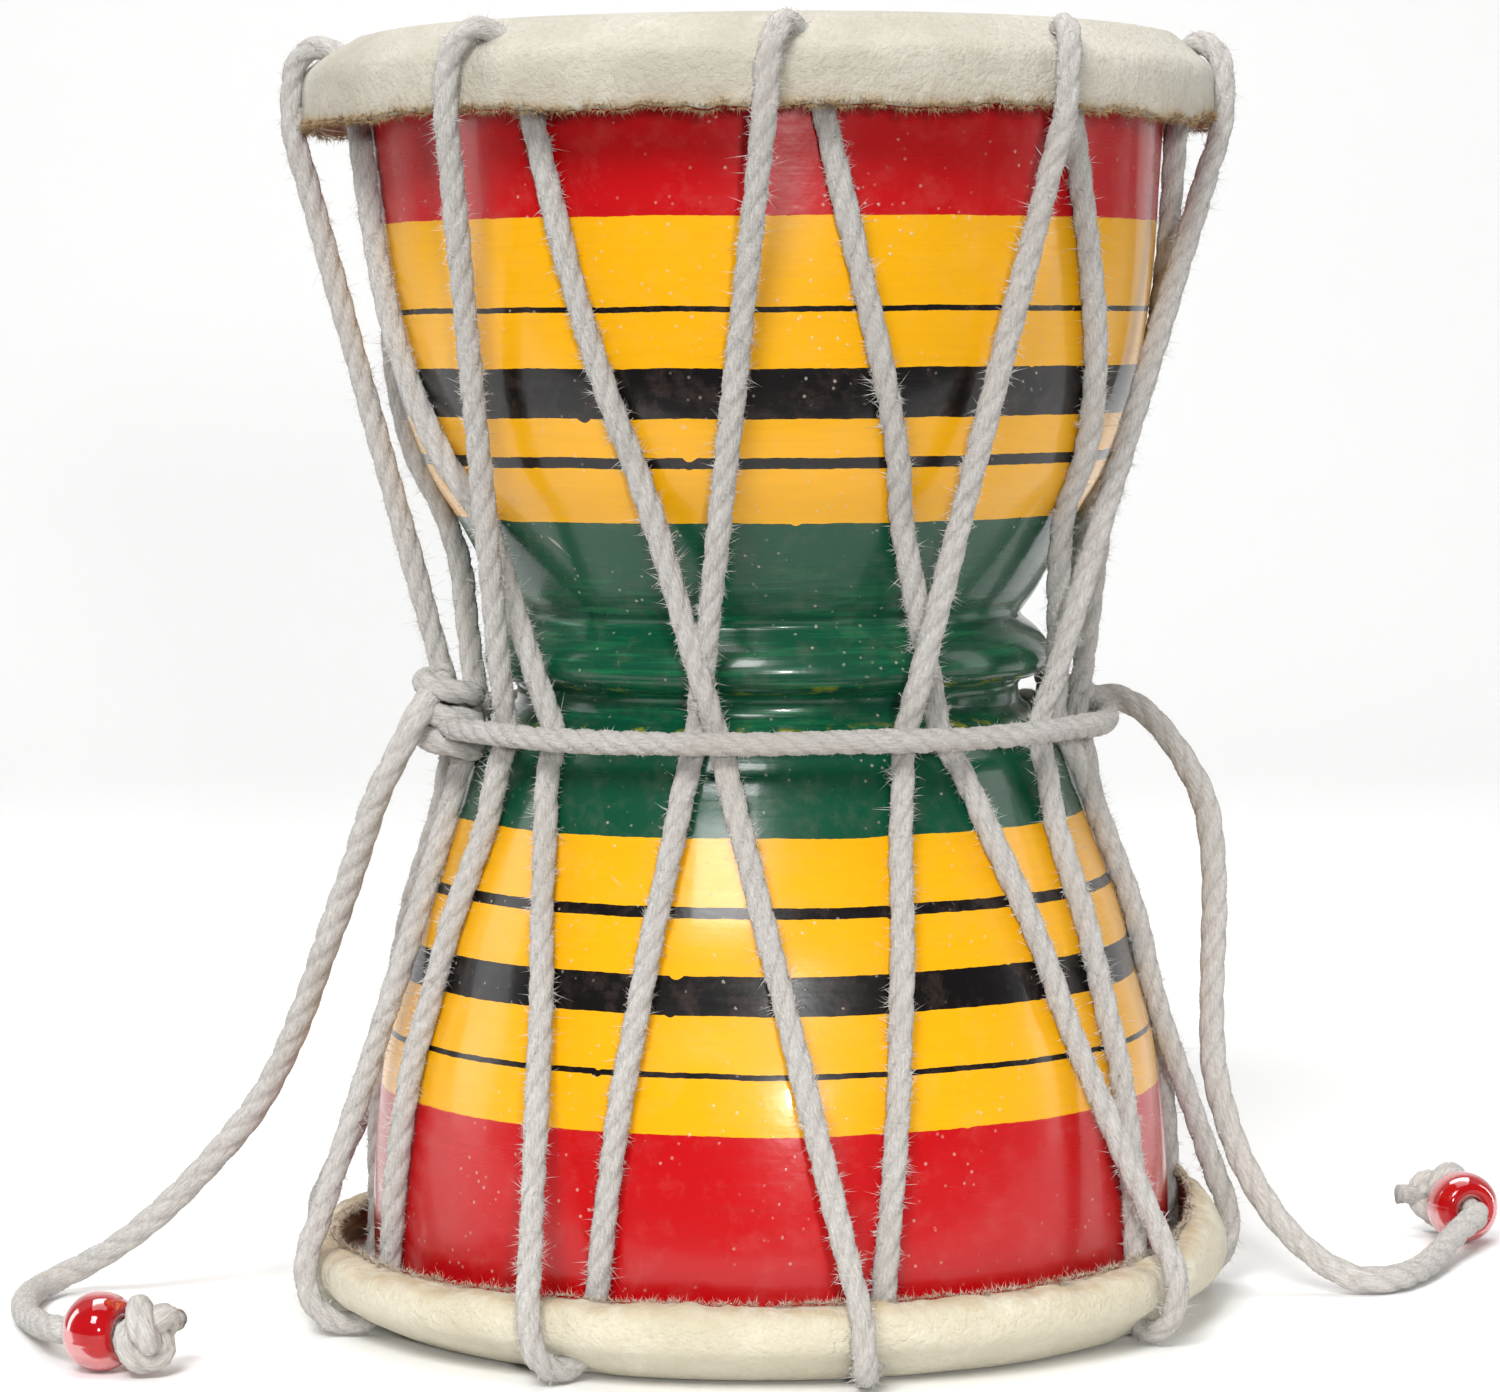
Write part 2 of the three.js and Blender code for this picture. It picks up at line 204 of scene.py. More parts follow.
# ---- Striker cords -------------------------------------------------------------------
# Three-strand cotton rope. Each tail leaves its knot at the waist, bends over under its own
# weight, runs out on the table and goes through a bead to an overhand knot.
ROPE = 1.45 * MM
TAIL = 1.65 * MM  # nothing pulls the tails tight, so they're thicker than the lacing
LAY = 10.5 * MM  # length of rope in which a strand goes once round
RING_STEP = 0.8 * MM
GROOVE = 0.15  # depth of the grooves between strands, as a share of the radius

LEFT_CORD = [
    (-38.2, -12.6, 76.4), (-39.6, -15.4, 74.9), (-41.3, -17.3, 72.2), (-43.6, -17.8, 67.8), (-46, -16.4, 63.2),
    (-49.5, -12, 53.5), (-52.7, -9, 45.2), (-55.9, -5.5, 36.7), (-59.4, -2.6, 29), (-62.5, -1, 23.8),
    (-67.6, 0, 17.6), (-74, 1, 11.1), (-79.8, 2.4, 6.4), (-85.4, 4.4, 3), (-88.6, 1.6, 1.75),
    (-89.6, -5.4, 1.7), (-88.7, -14.6, 1.7), (-85.9, -24, 2.3), (-83.2, -32.4, 3.4), (-79.95, -37.85, 4.25),
    (-76.3, -39.8, 4.5), (-71.9, -42.1, 4.6),
]
RIGHT_CORD = [
    (38.8, 24.4, 71.6), (40.9, 25, 71.2), (44.1, 24.2, 71.2), (47.5, 22, 69.4), (50.4, 20, 66.1),
    (52.4, 19, 63), (54.4, 18, 58.7), (55.3, 16.5, 52.6), (55.4, 15, 46.5), (55, 13, 39.3),
    (54.7, 11, 32.1), (54.9, 9.5, 26.1), (56.5, 6.6, 19.2), (58.1, 4.5, 15), (61.1, 2.2, 9.9),
    (64, 1, 6.5), (67.6, 0.2, 3.6), (71.4, -0.6, 1.9), (75.5, 0.4, 1.7), (79.2, 5.2, 1.7),
    (82.4, 12, 1.9), (85.1, 18.4, 2.7), (87.8, 24, 3.6), (90.25, 29.4, 4.25), (89.1, 33.4, 4.5),
    (87.9, 38, 4.6),
]


# Even steps along a smooth curve through the given points
def smooth_route(points, step, closed=False):
    given = np.array([tuple(p) for p in points], float)
    before, after = 2 * given[0] - given[1], 2 * given[-1] - given[-2]
    if closed:
        before, after = given[-1], given[1]
        given = np.vstack([given, given[:1]])
    padded = np.vstack([before, given, after])
    fine = []
    for a, b, c, d in zip(padded, padded[1:], padded[2:], padded[3:]):
        gaps = [math.sqrt(np.linalg.norm(q - p)) for p, q in ((a, b), (b, c), (c, d))]
        t0, t1, t2, t3 = 0, gaps[0], gaps[0] + gaps[1], sum(gaps)
        t = np.linspace(t1, t2, 16, endpoint=False)[:, None]
        ab = ((t1 - t) * a + (t - t0) * b) / (t1 - t0)
        bc = ((t2 - t) * b + (t - t1) * c) / (t2 - t1)
        cd = ((t3 - t) * c + (t - t2) * d) / (t3 - t2)
        abc = ((t2 - t) * ab + (t - t0) * bc) / (t2 - t0)
        bcd = ((t3 - t) * bc + (t - t1) * cd) / (t3 - t1)
        fine.append(((t2 - t) * abc + (t - t1) * bcd) / (t2 - t1))
    fine = np.vstack(fine + [given[-1:]])
    length = np.concatenate([[0], np.cumsum(np.linalg.norm(np.diff(fine, axis=0), axis=1))])
    count = max(3, round(length[-1] / step))
    even = np.linspace(0, length[-1], count + 1)[: count if closed else None]
    return np.column_stack([np.interp(even, length, fine[:, axis]) for axis in range(3)])


def unit(vectors):
    return vectors / np.linalg.norm(vectors, axis=-1, keepdims=True)


# The direction of a route at each point, and two directions across it that don't spin
def across(route, closed=False):
    if closed:
        ahead = unit(np.roll(route, -1, axis=0) - np.roll(route, 1, axis=0))
    else:
        ahead = unit(np.gradient(route, axis=0))
    side = unit(np.cross(ahead[0], (0.31, 0.2, 0.93)))
    sides = []
    for direction in ahead:
        side = unit(side - direction * np.dot(side, direction))
        sides.append(side)
    sides = np.array(sides)
    if closed:
        last = sides[-1] - ahead[0] * np.dot(sides[-1], ahead[0])
        gap = math.atan2(np.dot(np.cross(last, sides[0]), ahead[0]), np.dot(last, sides[0]))
        spread = (gap * np.arange(len(route)) / len(route))[:, None]
        sides = sides * np.cos(spread) + np.cross(ahead, sides) * np.sin(spread)
    return ahead, sides, np.cross(ahead, sides)


# A mesh over rings with the same number of corners; rings may close into a loop
def mesh_over(name, rings, looped, material):
    count, corners = rings.shape[:2]
    number = np.arange(count * corners).reshape(count, corners)
    following = np.roll(number, -1, axis=0) if looped else number[1:]
    here = number if looped else number[:-1]
    quads = np.stack([here, np.roll(here, -1, 1), np.roll(following, -1, 1), following], axis=-1)
    faces = quads.reshape(-1, 4).tolist()
    if not looped:
        faces += [number[0][::-1].tolist(), number[-1].tolist()]
    mesh = bpy.data.meshes.new(name)
    mesh.from_pydata(rings.reshape(-1, 3).tolist(), [], faces)
    mesh.shade_smooth()
    mesh.materials.append(material)
    return mesh


def mark(mesh, name, values):
    kind = "FLOAT" if values.ndim == 1 else "FLOAT_VECTOR"
    layer = mesh.attributes.new(name, kind, "POINT")
    layer.data.foreach_set("value" if values.ndim == 1 else "vector", values.ravel())


def add_piece(name, mesh, slot, *replaced):
    piece = bpy.data.objects.new(name, mesh)
    bpy.context.scene.collection.objects.link(piece)
    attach(piece, "root")
    if replaced:
        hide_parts(*replaced)
    return piece


# How far out the surface of the rope is at an angle, 1 on a strand's back
def strand_swell(angle):
    nearest = (angle + math.pi / 3) % (2 * math.pi / 3) - math.pi / 3
    inside = np.clip(1 - (np.sin(nearest) * 2 / math.sqrt(3)) ** 2, 0, 1)
    return 0.464 * (2 / math.sqrt(3) * np.cos(nearest) + np.sqrt(inside))


def rope_mesh(name, route, material, closed=False, radius=ROPE, lay=LAY, sides=18):
    ahead, side, other = across(route, closed)
    step = np.linalg.norm(route[1] - route[0])
    along = np.arange(len(route)) * step
    turns = max(1, round(len(route) * step / lay))
    twist = 2 * math.pi * turns * np.arange(len(route)) / len(route)
    angle = np.linspace(0, 2 * math.pi, sides, endpoint=False)
    angles = angle[None, :] + twist[:, None]
    swell = strand_swell(angle)
    swell = (swell - swell.min()) / (swell.max() - swell.min())
    whole = 2 * math.pi * np.arange(len(route)) / len(route)
    slow, quick = (round(along[-1] / MM / wave) for wave in (58, 23))
    thick = 1 + 0.05 * np.sin(whole * slow) * np.sin(whole * quick + 1)
    reach = radius * thick[:, None] * (1 - GROOVE * (1 - swell[None, :]))
    rings = route[:, None, :] + reach[..., None] * (
        np.cos(angles)[..., None] * side[:, None, :] + np.sin(angles)[..., None] * other[:, None, :]
    )
    mesh = mesh_over(name, rings, closed, material)
    yarn = np.stack([np.cos(angles), np.sin(angles), np.repeat(along[:, None] / ROPE, sides, 1)], -1)
    mark(mesh, "yarn", yarn.reshape(-1, 3))
    mark(mesh, "groove", np.tile(1 - swell, len(route)))
    return mesh


# Loose fibres that stand out of a rope: thin cones, most of them short
def fuzz_mesh(name, route, material, per_mm, longest, seed, radius=ROPE, closed=False):
    ahead, side, other = across(route, closed)
    chance = np.random.default_rng(seed)
    step = np.linalg.norm(route[1] - route[0])
    count = int(per_mm * len(route) * step / MM)
    clump = chance.integers(0, max(1, count // 9), count)
    clumped = chance.random(count) < 0.5
    at = chance.integers(0, len(route) - 1, count)
    turn = chance.uniform(0, 2 * math.pi, count)
    at = np.where(clumped, at[clump], at)
    turn = np.where(clumped, turn[clump] + chance.normal(0, 0.35, count), turn)[:, None]
    out = np.cos(turn) * side[at] + np.sin(turn) * other[at]
    round_it = np.cross(ahead[at], out)
    slide = chance.uniform(0, step, count)[:, None] * ahead[at]
    root = route[at] + slide + out * radius * 0.8
    lean = ahead[at] * chance.normal(0, 0.9, (count, 1))
    heading = unit(out + lean + round_it * chance.normal(0, 0.7, (count, 1)))
    length = longest * (0.35 + 0.7 * chance.random((count, 1)) ** 3) * (1 + 0.25 * clumped[:, None])
    thin = 0.04 * MM * (0.7 + 0.6 * chance.random((count, 1)))
    tip = root + heading * length + chance.normal(0, 0.12, (count, 3)) * length
    a = unit(np.cross(heading, (0.2, 0.1, 0.97)))
    b = np.cross(heading, a)
    corners = [root + thin * (math.cos(t) * a + math.sin(t) * b) for t in (0, 2.1, 4.2)]
    verts = np.stack(corners + [tip], axis=1).reshape(-1, 3)
    verts[:, 2] = np.maximum(verts[:, 2], 0)
    first = np.arange(count)[:, None] * 4
    faces = np.concatenate([first + f for f in ([0, 1, 3], [1, 2, 3], [2, 0, 3], [0, 2, 1])])
    mesh = bpy.data.meshes.new(name)
    mesh.from_pydata(verts.tolist(), [], faces.tolist())
    mesh.shade_smooth()
    mesh.materials.append(material)
    return mesh


def cotton_finish():
    material, surface, place = start_finish("cotton", Roughness=0.92, Sheen_Weight=0.25)
    surface.inputs["Specular IOR Level"].default_value = 0.2
    yarn = place.node("Attribute", {}, 1, attribute_name="yarn")
    groove = place.node("Attribute", {}, 2, attribute_name="groove")
    fibres = yarn.stretched(1, 1, 0.2).clouds(0.15, 4, 0.65)
    hairs = yarn.stretched(1, 1, 0.3).clouds(0.06, 3, 0.7)
    lint = place.clouds(1.3 * MM, 3)
    soil = place.clouds(17 * MM, 3)
    colour = fibres.between(0.3, 0.72).mix(rgb(0.42, 0.385, 0.35), rgb(0.8, 0.775, 0.74))
    # painted shade: the rope's colour is darkened in the grooves between its strands, where shade falls
    colour = (groove.between(0.45, 1.0) * 0.34).mix(colour, rgb(0.3, 0.265, 0.235))
    colour = (lint.between(0.5, 0.75) * 0.4).mix(colour, rgb(0.76, 0.74, 0.715))
    colour = (soil.between(0.5, 0.7) * 0.3).mix(colour, rgb(0.5, 0.44, 0.37))
    feed(surface, Base_Color=colour, Normal=relief(fibres + hairs * 0.5 + groove * -0.2, 0.4 * MM))
    return material


def lint_finish():
    material, surface, place = start_finish("cotton_lint", Roughness=0.95)
    surface.inputs["Specular IOR Level"].default_value = 0.1
    feed(surface, Base_Color=place.clouds(2 * MM).mix(rgb(0.62, 0.6, 0.57), rgb(0.8, 0.785, 0.75)))
    return material


cotton = cotton_finish()
lint = lint_finish()


def tail_route(points):
    return smooth_route([Vector(p) * MM for p in points], RING_STEP)


tail_routes = {"left": tail_route(LEFT_CORD), "right": tail_route(RIGHT_CORD)}
for hand, route in tail_routes.items():
    mesh = rope_mesh(f"striker_cord_{hand}_rope", route, cotton, radius=TAIL, lay=13 * MM)
    add_piece(f"striker_rope_{hand}", mesh, "cotton_cord", f"striker_cord_{hand}")


# ---- Beads ---------------------------------------------------------------------------
# Moulded barrel beads of clear red plastic with a fine seam from end to end on both sides.
BEAD_RADIUS = 4.5 * MM
BEAD_HALF = 3.2 * MM
BEAD_BORE = 1.75 * MM
BEADS = {"left": ((-76.3, -39.8, 4.5), (0.88, -0.47, 0)), "right": ((89.1, 33.4, 4.5), (-0.28, 0.96, 0))}


def bead_finish():
    material, surface, place = start_finish(
        "clear_red_plastic", Roughness=0.08, IOR=1.45, Transmission_Weight=0.3, Coat_Weight=0.2
    )
    shade = place.clouds(3 * MM).mix(rgb(0.34, 0.002, 0.004), rgb(0.6, 0.006, 0.01))
    feed(surface, Base_Color=shade)
    return material


def bead_outline():
    outline = []
    for i in range(-12, 13):
        t = i / 12
        outline.append((BEAD_RADIUS * (1 - 0.28 * abs(t) ** 2.6), t * BEAD_HALF * 0.94))
    outline += [(2.6 * MM, BEAD_HALF), (BEAD_BORE, BEAD_HALF * 0.93)]
    outline += [(BEAD_BORE, 0), (BEAD_BORE, -BEAD_HALF * 0.93), (2.6 * MM, -BEAD_HALF)]
    return outline


# Rings of an outline turned about the Z axis
def turned_rings(outline, sides):
    turn = np.linspace(0, 2 * math.pi, sides, endpoint=False)
    outline = np.array(outline)
    x = np.cos(turn)[:, None] * outline[None, :, 0]
    y = np.sin(turn)[:, None] * outline[None, :, 0]
    z = np.repeat(outline[None, :, 1], sides, 0)
    return np.stack([x, y, z], axis=-1)


# Turn the Z axis of some points to a direction and move them to a place
def set_down(points, direction, place):
    turn = Vector(direction).to_track_quat("Z", "Y").to_matrix()
    return points @ np.array(turn).T + np.array(place) * MM


red_plastic = bead_finish()
for hand, (place, direction) in BEADS.items():
    rings = turned_rings(bead_outline(), 200)
    turn = np.linspace(0, 2 * math.pi, 200, endpoint=False)[:, None]
    seam = np.exp(-((np.sin(turn - 0.18) * 30) ** 2)) * (np.linalg.norm(rings[..., :2], axis=2) > 3 * MM)
    rings[..., :2] *= 1 + 0.014 * seam[..., None]
    rings = set_down(rings, direction, place)
    mesh = mesh_over(f"bead_{hand}_mesh", rings, True, red_plastic)
    add_piece(f"striker_bead_{hand}", mesh, "red_plastic", f"bead_{hand}")


# ---- End knots -----------------------------------------------------------------------
# A tight overhand knot stops each bead. The rope's cut end sticks out of it.
KNOT_SIZE = 1.06 * MM  # half the distance between the two strands that cross in a knot


def overhand(size, squash=1.0):
    points = []
    for i in range(36):
        t = 2 * math.pi * i / 36
        out = (2 + math.cos(3 * t)) * size
        points.append((out * math.cos(2 * t), out * math.sin(2 * t) * squash, math.sin(3 * t) * size * 1.25))
    return np.array(points)


for hand, (place, direction) in BEADS.items():
    heading = Vector(direction).normalized()
    centre = Vector(place) + heading * 6.4
    centre.z = 4.8
    knot = set_down(overhand(KNOT_SIZE), direction, tuple(centre))
    route = smooth_route(knot, RING_STEP, True)
    mesh = rope_mesh(f"end_knot_{hand}_mesh", route, cotton, True, radius=1.6 * MM)
    add_piece(f"striker_knot_{hand}", mesh, "cotton_cord", f"end_knot_{hand}")
    sideways = Vector((-heading.y, heading.x, 0.1))
    cut_end = [centre, centre + sideways * 3, centre + sideways * 6.1]
    mesh = rope_mesh(f"cut_end_{hand}_mesh", tail_route(cut_end), cotton, radius=1.35 * MM)
    add_piece(f"striker_cut_end_{hand}", mesh, "cotton_cord")

# ---- Shell ---------------------------------------------------------------------------
# One piece of turned wood, hollow through its waist, sprayed and hand-lined in gloss enamel.
SHELL_LOW, SHELL_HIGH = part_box("shell")
LOWER_BOWL = [
    (48.1, 2.4), (48.1, 8), (48.1, 14), (47.4, 24), (46.2, 32.8), (44.3, 39.9), (42.4, 48), (39.9, 55.2),
    (37.6, 61.8), (35.6, 67.6), (33.6, 71),
]
WAIST = [
    (33.1, 71.5), (31.8, 72.1), (30.6, 72.9), (30.2, 73.5), (30.2, 75), (30.7, 75.7), (32.2, 76.1),
    (33.3, 76.5), (34.0, 77.3), (34.2, 78.3), (34, 79.4), (33.3, 80.6), (32.3, 81.8), (30.7, 83.1),
]
UPPER_BOWL = [
    (30.4, 83.6), (32.2, 86.1), (34.3, 89.9), (37.3, 95.5), (40, 99.9), (42.3, 105.4), (44.4, 111.9),
    (46.2, 122.9), (47.2, 136), (47.7, 144), (47.9, 149.8),
]
SHELL_INSIDE = [
    (43.8, 151.25), (43, 134), (40.4, 113), (34, 99), (24, 89), (12, 83), (10, 78), (12, 73), (24, 66),
    (35, 55), (41.4, 38), (43.9, 16), (43.8, 1.2),
]
RED, YELLOW = rgb(0.46, 0.003, 0.005), rgb(0.77, 0.37, 0.003)
BLACK, GREEN = rgb(0.004, 0.003, 0.003), rgb(0.003, 0.062, 0.03)
# Height at which each band starts, going up
BANDS = [
    (0, RED), (27.4, YELLOW), (33.2, BLACK), (34.1, YELLOW), (40.6, BLACK), (44.4, YELLOW), (50.8, BLACK),
    (51.9, YELLOW), (59.8, GREEN), (95.3, YELLOW), (101.7, BLACK), (102.7, YELLOW), (107.0, BLACK),
    (112.6, YELLOW), (119.1, BLACK), (120.0, YELLOW), (129.8, RED),
]


def bowl_curve(points):
    flat = [(radius * MM, 0, height * MM) for radius, height in points]
    return [(p[0], p[2]) for p in smooth_route(flat, 1.2 * MM)]


outside = bowl_curve(LOWER_BOWL) + [(r * MM, z * MM) for r, z in WAIST] + bowl_curve(UPPER_BOWL)
outside_heights = [z for r, z in outside]
outside_radii = [r for r, z in outside]


def shell_radius(height):
    return float(np.interp(height, outside_heights, outside_radii))


def enamel_finish():
    material, surface, place = start_finish("gloss_enamel", IOR=1.38, Coat_Roughness=0.08, Coat_IOR=1.35)
    height = place.node("SeparateXYZ", {0: place}, 2) / MM
    slow = place.stretched(1, 1, 0.25).clouds(14 * MM, 2)
    quick = place.clouds(1.3 * MM, 2)
    tooth = place.stretched(1, 1, 0.1).clouds(4 * MM, 1).between(0.7, 0.76)
    brushed = height + (slow - 0.5) * 0.6 + (quick - 0.5) * 0.2 + tooth * 0.45
    stops = [(start / 160, colour) for start, colour in BANDS]
    paint = place.node("ValToRGB", {0: brushed / 160}, stops=stops)
    # streaks of the lining brush run round the drum
    streaks = place.stretched(1, 1, 16).clouds(9 * MM, 4, 0.6)
    paint = (streaks.between(0.35, 0.75) * 0.07).mix(paint, rgb(0.0, 0.0, 0.0))
    # the green is thin on the turned ring, with yellow and pale green showing through
    ring = height.between(69, 71) * (1 - height.between(85, 92))
    thin = place.stretched(0.6, 0.6, 10).clouds(7 * MM, 4, 0.65)
    paint = (ring * thin.between(0.5, 0.72) * 0.6).mix(paint, rgb(0.012, 0.19, 0.07))
    edge = height.between(75.7, 76.1) * (1 - height.between(76.6, 77.0))
    lip = height.between(70.7, 71.3) * (1 - height.between(72.0, 72.5))
    worn = place.clouds(4 * MM, 3).between(0.52, 0.66)
    paint = ((edge + lip) * worn * 0.75).mix(paint, rgb(0.33, 0.33, 0.012))
    # dust and lint caught in the gloss
    dusty = place.clouds(3.5 * MM, 5, 0.7).between(0.5, 0.8)
    paint = (dusty * 0.07).mix(paint, rgb(0.6, 0.4, 0.34))
    grime = place.clouds(26 * MM, 4, 0.6).between(0.45, 0.75)
    specks = 1 - place.dots(1.5 * MM).between(0.07, 0.16)
    some = place.clouds(8 * MM, 2).between(0.44, 0.6)
    paint = (specks * some * 0.5).mix(paint, rgb(0.6, 0.52, 0.42))
    slanted = place.node("Mapping", {"Vector": place, "Rotation": (0.5, 0.7, 0.3)})
    scratches = slanted.stretched(1, 1, 0.07).clouds(1.1 * MM, 1).between(0.77, 0.8)
    paint = (scratches * some * 0.4).mix(paint, rgb(0.6, 0.5, 0.42))
    paint = (grime * 0.008).mix(paint, rgb(0.5, 0.45, 0.4))
    lathe = place.stretched(0.05, 0.05, 1).clouds(0.55 * MM, 3)
    peel = place.clouds(1.6 * MM, 2)
    turned = height.between(60, 72) * (1 - height.between(88, 100))
    height_map = lathe * (turned * 0.8 + 0.12) + peel * 0.5 + specks * some * 0.8
    feed(
        surface, Base_Color=paint, Roughness=grime * 0.14 + streaks * 0.12 + 0.16,
        Coat_Weight=0.45 - grime * 0.25, Normal=relief(height_map, 0.05 * MM),
    )
    return material


outline = outside + [(47.1 * MM, SHELL_HIGH[2])]
outline += [(radius * MM, height * MM) for radius, height in SHELL_INSIDE]
outline += [(47.1 * MM, SHELL_LOW[2])]
shell_mesh = mesh_over("shell_mesh", turned_rings(outline, 240), True, enamel_finish())
add_piece("painted_shell", shell_mesh, "painted_wood", "shell")


# ---- Lacing --------------------------------------------------------------------------
# One endless rope zigzags between the heads. At each rim it comes up inside the hoop, out
# through a hole in the hide and down over the lap.
TOP_LAP_SHIFT = -0.7 * MM
LOW_LAP_SHIFT = -1.1 * MM
WAIST_HEIGHT = 71
TOP_HOLES = [-80, -36.1, 3.2, 40.2, 81, 121, 161, 201, 241]
LOW_HOLES = [-66, -25.2, 12.5, 57, 98, 139, 180, 218, 255]
# Angle and radius of the outer and the inner leg of each top loop under the waist cord
OUTER_WAIST = [
    (-93, 37.9), (-53.6, 37.9), (-13.6, 35.4), (24, 37.9), (56.2, 37.9), (96, 37.9), (137, 37.9), (176, 37.9),
    (216, 37.9),
]
INNER_WAIST = [
    (-44.6, 35.4), (-8.6, 37.9), (34, 35.4), (75.6, 35.4), (106, 35.4), (151, 35.4), (190, 35.4),
    (230, 35.4), (284, 35.4),
]
TOP_LOOP = [
    (3, 49.6, 146.2), (2, 50.1, 148.5), (0.8, 51, 150.2), (0, 52.4, 150.9), (-0.8, 54, 150.4),
    (-1.6, 55.2, 148.7), (-2.2, 55.6, 146.4), (-2.6, 55.5, 141.2),
]
LOW_LOOP = [
    (1.6, 49.95, 5.6), (1.2, 50.4, 3.5), (0.6, 51.5, 2), (0, 53.1, 1.5), (-0.6, 55, 2),
    (-1.1, 56.8, 3.5), (-1.4, 57.7, 5.6), (-1.7, 57.7, 9.2),
]


def polar(angle, radius, height):
    turn = math.radians(angle)
    return Vector((radius * math.sin(turn), -radius * math.cos(turn), height)) * MM


# Points near a hoop follow it sideways, points near the shell stay with the shell
def follow_hoop(point, shift):
    share = np.clip((math.hypot(point.x, point.y) / MM - 49) / 4, 0, 1)
    return point + Vector((shift * share * share * (3 - 2 * share), 0, 0))


def rim_loop(loop, hole, shift):
    return [follow_hoop(polar(hole + turned, radius, height), shift) for turned, radius, height in loop]


# A taut leg, straight but for where it bends over the shell
def leg(start, finish):
    points = []
    for i in range(1, 12):
        point = start.lerp(finish, i / 12)
        radius = math.hypot(point.x, point.y)
        least = shell_radius(point.z) + ROPE + 0.1 * MM
        if radius < least:
            point.x *= least / radius
            point.y *= least / radius
        points.append(point)
    return points


def lacing_points():
    count = len(TOP_HOLES)
    points = []
    for turn in range(count):
        k = (-2 * turn) % count
        low, following = (k - 1) % count, (k - 2) % count
        over_top = rim_loop(TOP_LOOP, TOP_HOLES[k], TOP_LAP_SHIFT)
        under_low = rim_loop(LOW_LOOP, LOW_HOLES[low], LOW_LAP_SHIFT)
        next_top = rim_loop(TOP_LOOP, TOP_HOLES[following], TOP_LAP_SHIFT)
        down = polar(*OUTER_WAIST[k], WAIST_HEIGHT)
        up = polar(*INNER_WAIST[following], WAIST_HEIGHT)
        points += over_top + leg(over_top[-1], down) + [down] + leg(down, under_low[0])
        points += under_low + leg(under_low[-1], up) + [up] + leg(up, next_top[0])
    return points


lacing_route = smooth_route(lacing_points(), 0.9 * MM, True)
lacing_mesh = rope_mesh("lacing_mesh", lacing_route, cotton, True, lay=11.5 * MM)
add_piece("lacing_rope", lacing_mesh, "cotton_cord", "lacing")
lacing_fuzz = fuzz_mesh("lacing_fuzz_mesh", lacing_route, lint, 15, 1.25 * MM, 3, closed=True)
add_piece("lacing_fuzz", lacing_fuzz, "cotton_cord")
lacing_tufts = fuzz_mesh("lacing_tufts_mesh", lacing_route, lint, 10, 2.1 * MM, 17, closed=True)
add_piece("lacing_tufts", lacing_tufts, "cotton_cord")
for hand, route in tail_routes.items():
    fluff = fuzz_mesh(f"striker_fuzz_{hand}_mesh", route, lint, 16, 0.75 * MM, 7, TAIL)
    add_piece(f"striker_fuzz_{hand}", fluff, "cotton_cord")


# ---- Hoops ---------------------------------------------------------------------------
# Thin strips of cane bent into rings and rolled into the edges of the hides.
def cane_finish():
    material, surface, place = start_finish("dark_cane", Roughness=0.65)
    grain = place.stretched(1, 1, 8).clouds(5 * MM, 4, 0.6)
    colour = grain.between(0.3, 0.7).mix(rgb(0.14, 0.08, 0.035), rgb(0.34, 0.22, 0.11))
    feed(surface, Base_Color=colour, Normal=relief(grain, 0.2 * MM))
    return material


cane = cane_finish()
TOP_HOOP = [(52.45, 142.1), (53.4, 142.1), (53.4, 146.3), (52.9, 147.3), (52.45, 147.5)]
LOW_HOOP = [(53.05, 4.5), (53.9, 4.9), (55, 6.3), (55, 8.2), (53.05, 8.2)]


def hoop_mesh(name, outline, shift, seed):
    rings = turned_rings([(r * MM, z * MM) for r, z in outline], 160)
    for ring in rings:
        wander = noise.noise(Vector(ring[0]) * 40 + Vector((seed, 0, 0)))
        ring[:, 2] += 0.25 * MM * wander
        ring[:, 0] += shift
    return mesh_over(name, rings, True, cane)


add_piece("cane_hoop_top", hoop_mesh("cane_hoop_top_mesh", TOP_HOOP, TOP_LAP_SHIFT, 2), "cane", "top_hoop")
add_piece("cane_hoop_low", hoop_mesh("cane_hoop_low_mesh", LOW_HOOP, LOW_LAP_SHIFT, 5), "cane", "bottom_hoop")

# ---- Heads ---------------------------------------------------------------------------
# Raw goat hide, suede side out: stretched over each mouth, lapped over its hoop and cut off
# by hand, which leaves a ragged, slightly browned edge.
TOP_SKIN = {
    "rise": 0,
    "crown": [(0, 152.3), (15, 152.3), (30, 152.3), (42, 152.3), (47.2, 152.3)],
    "lap": [
        (48.8, 151.9), (50.6, 150.7), (52.4, 149.4), (53.9, 148.1), (54.4, 146.8), (54.45, 144), (54.4, 141.7),
    ],
    "under": [
        (53.7, 141.7), (53.7, 146.6), (53.3, 147.7), (52, 148.8), (48.3, 151.35), (47, 151.6), (30, 151.6),
        (0, 151.6),
    ],
}
LOW_SKIN = {
    "rise": 5,
    "crown": [(0, 0), (15, 0), (30, 0), (40, 0), (45.5, 0)],
    "lap": [
        (48.6, 0.32), (50.9, 1.6), (53.2, 3.15), (55.3, 4.6), (56, 5.9), (56.05, 7.2),
        (55.9, 8.3), (55.2, 9.1), (54, 9.35), (52, 9.3),
    ],
    "under": [
        (52, 8.6), (54.7, 8.55), (55.3, 7.6), (55.3, 6.1), (54.8, 5.2), (52.8, 3.9), (48.2, 1.05),
        (45.3, 0.7), (30, 0.7), (0, 0.7),
    ],
}
